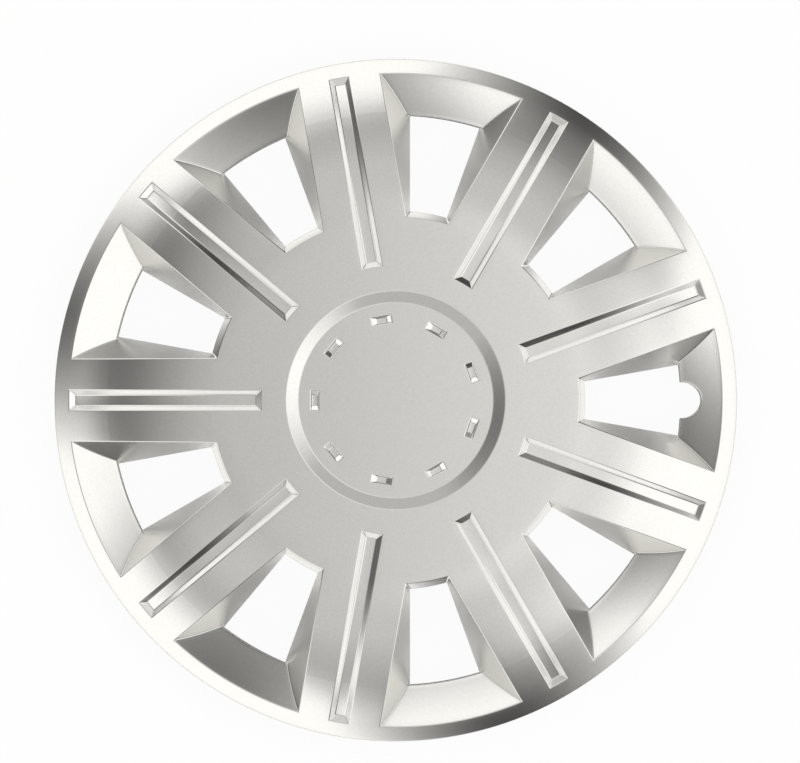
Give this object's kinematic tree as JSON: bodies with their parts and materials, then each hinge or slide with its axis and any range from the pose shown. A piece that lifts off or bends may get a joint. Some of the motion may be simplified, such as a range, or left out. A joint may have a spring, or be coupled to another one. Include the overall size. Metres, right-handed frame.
{
  "type": "wheel cover",
  "caption": "Full-face round wheel cover with flat spokes, funnel-shaped windows, a valve notch, clip legs and a wire retaining ring.",
  "frame": {"origin": "on the wheel axis, level with the tips of the clip legs that the cover lies on", "axes": "+Z along the wheel axis, out of the face; +X through the middle of the valve notch"},
  "size_m": [0.398, 0.398, 0.0516],
  "materials": {
    "silver_lacquer": "metallic lacquer on ABS",
    "spring_steel": "drawn wire, zinc plated"
  },
  "bodies": {
    "root": {"wheel_cover": "silver_lacquer", "retaining_ring": "spring_steel"}
  },
  "joints": []
}
